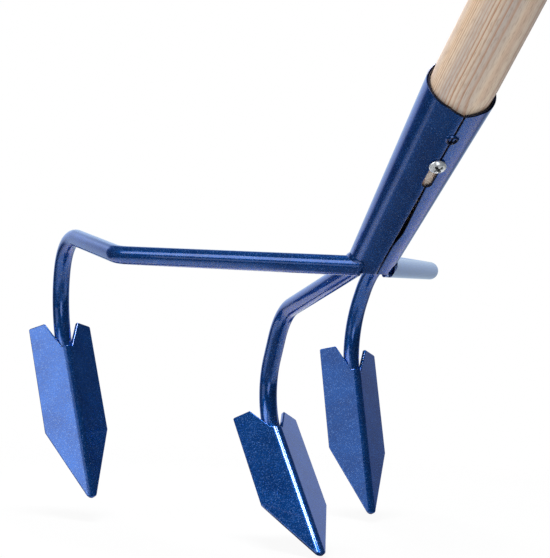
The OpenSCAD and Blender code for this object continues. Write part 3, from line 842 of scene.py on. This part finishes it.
def makeBlade(name, seat, side, lean, node, sizes):
    # strip between an upper and a lower outline: across the strip by height between the two outlines, of
    # which the upper is a notch with straight sides and the lower two straight edges and a round point
    notchTop, mark = sizes["notchTopHalf"], sizes["notchMark"]
    notchMarks = [sizes["notchHalf"], notchTop - mark, notchTop, notchTop + mark]
    marks = np.append(sizes["ridgeMarks"], notchMarks)
    x = fineEnds(2 * sizes["half"], sizes["edgeSteps"], sizes["columns"]) - sizes["half"]
    x = np.unique(np.concatenate([x, marks, -marks, [0]]).round(placeDigits))
    away = np.abs(x)
    slope = sizes["notchDepth"] / (notchTop - sizes["notchHalf"])
    cornerRadius = sizes["cornerRadius"]
    corner = np.maximum(away - sizes["half"] + cornerRadius, 0)
    upper = np.clip(slope * (away - sizes["notchHalf"]), 0, sizes["notchDepth"])
    upper = upper - cornerRadius + np.sqrt(np.maximum(cornerRadius ** 2 - corner ** 2, 0))
    taper = sizes["point"] - sizes["shoulder"]
    halfTip = math.atan2(sizes["half"], taper)
    lower = -sizes["point"] + away * taper / sizes["half"]
    tipCentre = -sizes["point"] + sizes["pointRadius"] / math.sin(halfTip)
    tip = tipCentre - np.sqrt(np.maximum(sizes["pointRadius"] ** 2 - away ** 2, 0))
    lower = np.where(away < sizes["pointRadius"] * math.cos(halfTip), tip, lower)
    step = np.array(sizes["endSteps"])[:, None]
    even = np.linspace(0, 1, sizes["rows"])[1:-1, None]
    between = upper - lower - 2 * step[-1]
    z = np.concatenate([lower + step, lower + step[-1] + even * between, upper - step[::-1]])
    fromLower = (z - lower) / np.sqrt(1 + np.gradient(lower, x) ** 2)
    fromUpper = (upper - z) / np.sqrt(1 + np.gradient(upper, x) ** 2)
    toEdge = np.minimum(np.minimum(fromLower, fromUpper), sizes["half"] - away)
    halfThick = edgeRound(np.maximum(toEdge, 0), sizes["thickness"], sizes["edge"])
    front = onBlade(foldedSheet(x, z, halfThick, sizes), seat, side, lean)
    back = onBlade(foldedSheet(x, z, -halfThick, sizes), seat, side, lean)
    return makePiece(name, sheetSurfaces(front, back), blueEnamel, "head", node)


makeBlade("left_folded_blade", leftSeat, -1, armSizes["lean"], "left_blade", bladeSizes)
makeBlade("right_folded_blade", rightSeat, 1, armSizes["lean"], "right_blade", bladeSizes)
makeBlade("middle_folded_blade", middleSeat, 0, middleSizes["lean"], "middle_blade", bladeSizes)
print("blades made")

filletSizes = {
    "low": -42.0, "high": -4.0, "reach": 3.0, "endRound": 2.2,
    "rodStart": -10.0, "deep": (0.62, -0.92),        # degrees round the rod, and shares of its radius
    "swell": 0.5, "swellAway": (0.8, 0.6), "ripple": 0.22, "ripplePitch": 2.3, "rippleLag": 1.2,
    "rows": 150, "columns": 13, "sharpAngle": 60,
}


def makeFillets(name, seat, side, lean, node, sizes):
    # two beads between the rod and the wings: height along the rod by way round the bead's section, a
    # line from rod to wing that swells, with ripples that lag in the middle, and shrinks at both ends
    z = np.linspace(sizes["low"], sizes["high"], sizes["rows"])[:, None]
    share = np.linspace(0, 1, sizes["columns"])[None, :]
    ends = np.clip(np.minimum(z - sizes["low"], sizes["high"] - z) / sizes["endRound"], 0, 1)
    full = np.sqrt(1 - (1 - ends) ** 2)
    lag = sizes["rippleLag"] * (1 - (2 * share - 1) ** 2)
    ripple = sizes["ripple"] * np.sin(fullTurn * (z + lag) / sizes["ripplePitch"])
    swell = (sizes["swell"] + ripple) * np.sin(math.pi * share) * full
    radius = tool["rodRadius"]
    onRod = math.radians(sizes["rodStart"])
    startX, startY = radius * math.cos(onRod), radius * math.sin(onRod)
    endX, endY = radius + sizes["reach"], -radius
    deepX, deepY = sizes["deep"][0] * radius, sizes["deep"][1] * radius
    awayX, awayY = sizes["swellAway"]
    skinX = deepX + (startX + (endX - startX) * share - deepX) * full + awayX * swell
    skinY = deepY + (startY + (endY - startY) * share - deepY) * full + awayY * swell
    sectionX = np.concatenate([skinX, np.full_like(z, deepX)], axis=1)
    sectionY = np.concatenate([skinY, np.full_like(z, deepY)], axis=1)
    surfaces = []
    for hand in (-1, 1):
        x = hand * (sectionX * math.cos(foldTurn) - sectionY * math.sin(foldTurn))
        y = rodBed + sectionX * math.sin(foldTurn) + sectionY * math.cos(foldTurn)
        local = np.stack(np.broadcast_arrays(x, y, z), axis=-1)
        surfaces.append(gridSurface(onBlade(local, seat, side, lean), True))
    return makePiece(name, surfaces, weldEnamel, "head", node, sizes["sharpAngle"])


makeFillets("left_blade_beads", leftSeat, -1, armSizes["lean"], "left_blade_weld", filletSizes)
makeFillets("right_blade_beads", rightSeat, 1, armSizes["lean"], "right_blade_weld", filletSizes)
makeFillets("middle_blade_beads", middleSeat, 0, middleSizes["lean"], "middle_blade_weld", filletSizes)
print("blade welds made")

# Floor
floorLook = {
    "colour": "#d2d2d2", "roughness": 0.9, "height": -239.0, "centre": (0.0, 250.0), "radius": 580.0,
    "fade": (0.4, 0.98),                     # shares of the radius between which the floor fades out
    "glow": 0.93,                            # share of white to the camera; the rest keeps the shadow
    "flag": "#606060", "flagAcross": (0.0, 80.0), "flagAhead": (220.0, 270.0),    # its right and far edge
    "rows": 24, "columns": 96,
}


def makeFloorPaper(name, look):
    # pale matt paper that fades out at its rim; to the camera it is nearly plain white, and to
    # reflections its front left is dark, as if a dark flag lay there
    material, tree, shader, place = newMaterial(name)
    path = addNode(tree, "ShaderNodeLightPath")
    spot = addNode(tree, "ShaderNodeSeparateXYZ", {"Vector": place})
    flagged = path.outputs["Is Glossy Ray"]
    for axis, (near, far) in (("X", look["flagAcross"]), ("Y", look["flagAhead"])):
        inside = addNode(tree, "ShaderNodeMapRange", {
            "Value": spot.outputs[axis], "From Min": near * metres, "From Max": far * metres,
            "To Min": 1.0, "To Max": 0.0})
        flagged = addNode(tree, "ShaderNodeMath", {
            0: inside.outputs["Result"], 1: flagged}, operation="MULTIPLY").outputs["Value"]
    tone = addNode(tree, "ShaderNodeMix", {
        "Factor": flagged, colourA: linear(look["colour"]), colourB: linear(look["flag"])},
        data_type="RGBA")
    tree.links.new(tone.outputs[colourOut], shader.inputs["Base Color"])
    shader.inputs["Roughness"].default_value = look["roughness"]
    plain = addNode(tree, "ShaderNodeEmission", {"Color": white, "Strength": 1.0})
    seen = addNode(tree, "ShaderNodeMath", {
        0: path.outputs["Is Camera Ray"], 1: look["glow"]}, operation="MULTIPLY")
    lit = addNode(tree, "ShaderNodeMixShader", {
        0: seen.outputs["Value"], 1: shader.outputs["BSDF"], 2: plain.outputs["Emission"]})
    middle = tuple(metres * length for length in (*look["centre"], look["height"]))
    fromMiddle = addNode(tree, "ShaderNodeVectorMath", {0: place, 1: middle}, operation="DISTANCE")
    fadeFrom, fadeTo = (share * look["radius"] * metres for share in look["fade"])
    fade = addNode(tree, "ShaderNodeMapRange", {
        "Value": fromMiddle.outputs["Value"], "From Min": fadeFrom, "From Max": fadeTo},
        interpolation_type="SMOOTHSTEP")
    clear = addNode(tree, "ShaderNodeBsdfTransparent")
    rim = addNode(tree, "ShaderNodeMixShader", {
        0: fade.outputs["Result"], 1: lit.outputs["Shader"], 2: clear.outputs["BSDF"]})
    tree.links.new(rim.outputs["Shader"], tree.nodes["Material Output"].inputs["Surface"])
    return material


def makeFloor(look):
    # a disc: way out from the middle by turn about it
    out = np.linspace(0, look["radius"], look["rows"])[:, None]
    turn = evenTurns(look["columns"])
    x, y = look["centre"][0] + out * np.cos(turn), look["centre"][1] + out * np.sin(turn)
    points = np.stack(np.broadcast_arrays(x, y, look["height"]), axis=-1)
    mesh = makeMesh("studio_floor", [gridSurface(points, True)])
    mesh.materials.append(makeFloorPaper("studio floor, matt", look))
    floor = bpy.data.objects.new("studio_floor", mesh)
    scene.collection.objects.link(floor)


makeFloor(floorLook)

# Light
lightLook = {
    "backdrop": (0.42, 0.9, 0.05),           # direction of its middle
    "backdropEdge": (0.58, 0.72), "backdropTop": (0.36, 0.5),
    "backdropStrength": 0.94, "backdropSlope": (-0.46, 0.0, 1.05),    # brighter to the left and upwards
    "room": 0.06, "fill": 0.22, "tint": "#d7ebff",
}
lamps = {                                    # directions from the aim, metres and watts
    "key_softbox": {"from": (-0.875, -0.02, 0.485), "distance": 1.6, "size": (0.7, 1.3), "power": 9.8},
    "overhead_strip": {"from": (-0.035, 0.23, 0.97), "distance": 1.3, "size": (0.55, 0.4), "power": 23.0},
    "front_softbox": {"from": (-0.534, -0.333, 0.777), "distance": 1.9, "size": (1.0, 1.0), "power": 3.3},
    "low_fill": {"from": (-0.22, -0.96, -0.14), "distance": 1.2, "size": (0.7, 0.5), "power": 3.0},
    "left_card": {"from": (-0.97, -0.1, -0.03), "distance": 1.3, "size": (0.3, 0.9), "power": 0.8},
}
aim = np.array([0.0, 0.2, -0.1])


def makeWorld(look):
    # white to the camera; to all else a bright backdrop ahead in a dim room, with an even fill for matt
    # surfaces and a cool tint in reflections
    world = bpy.data.worlds.new("white studio")
    world.use_nodes = True
    scene.world = world
    tree = world.node_tree
    direction = addNode(tree, "ShaderNodeTexCoord").outputs["Generated"]
    path = addNode(tree, "ShaderNodeLightPath")
    ahead = addNode(tree, "ShaderNodeVectorMath", {
        0: direction, 1: tuple(unit(np.array(look["backdrop"])))}, operation="DOT_PRODUCT")
    height = addNode(tree, "ShaderNodeSeparateXYZ", {"Vector": direction}).outputs["Z"]
    slope = addNode(tree, "ShaderNodeVectorMath", {
        0: direction, 1: look["backdropSlope"]}, operation="DOT_PRODUCT")
    bright = addNode(tree, "ShaderNodeMath", {
        0: slope.outputs["Value"], 1: look["backdropStrength"]}, operation="ADD")
    belowTop = addNode(tree, "ShaderNodeMapRange", {
        "Value": height, "From Min": look["backdropTop"][0], "From Max": look["backdropTop"][1],
        "To Min": bright.outputs["Value"], "To Max": look["room"]}, interpolation_type="SMOOTHSTEP")
    backdrop = addNode(tree, "ShaderNodeMapRange", {
        "Value": ahead.outputs["Value"], "From Min": look["backdropEdge"][0],
        "From Max": look["backdropEdge"][1], "To Min": look["room"],
        "To Max": belowTop.outputs["Result"]}, interpolation_type="SMOOTHSTEP")
    filled = addNode(tree, "ShaderNodeMath", {
        0: path.outputs["Is Diffuse Ray"], 1: look["fill"], 2: backdrop.outputs["Result"]},
        operation="MULTIPLY_ADD")
    level = addNode(tree, "ShaderNodeMix", {
        "Factor": path.outputs["Is Camera Ray"], numberA: filled.outputs["Value"], numberB: 1.0},
        data_type="FLOAT")
    tint = addNode(tree, "ShaderNodeMix", {
        "Factor": path.outputs["Is Glossy Ray"], colourA: white, colourB: linear(look["tint"])},
        data_type="RGBA")
    tree.links.new(level.outputs[numberOut], tree.nodes["Background"].inputs["Strength"])
    tree.links.new(tint.outputs[colourOut], tree.nodes["Background"].inputs["Color"])


def makeLamp(name, lamp):
    # a softbox at its distance from the aim, facing it, and not seen by the camera
    light = bpy.data.lights.new(name, "AREA")
    light.shape = "RECTANGLE"
    light.size, light.size_y = lamp["size"]
    light.energy = lamp["power"]
    holder = bpy.data.objects.new(name, light)
    back = unit(np.array(lamp["from"]))
    side = unit(np.cross(forwardAxis, back))
    turn = np.eye(4)
    turn[:3, 0], turn[:3, 1], turn[:3, 2] = side, np.cross(back, side), back
    turn[:3, 3] = aim + lamp["distance"] * back
    holder.matrix_world = Matrix(turn.tolist())
    holder.visible_camera = False
    scene.collection.objects.link(holder)


makeWorld(lightLook)
for name, lamp in lamps.items():
    makeLamp(name, lamp)

# Camera
view = {                                     # metres, degrees, and millimetres for the lens and the sensor
    "place": (-0.36435, -0.81329, -0.09136), "turn": (89.787, -2.837, -18.899),
    "lens": 129.03, "sensor": 36.0,
}
camera = bpy.data.objects.new("camera", bpy.data.cameras.new("camera"))
camera.location = view["place"]
camera.rotation_euler = [math.radians(angle) for angle in view["turn"]]
camera.data.lens = view["lens"]
camera.data.sensor_width = view["sensor"]
scene.collection.objects.link(camera)
scene.camera = camera
print("floor, light and camera made")
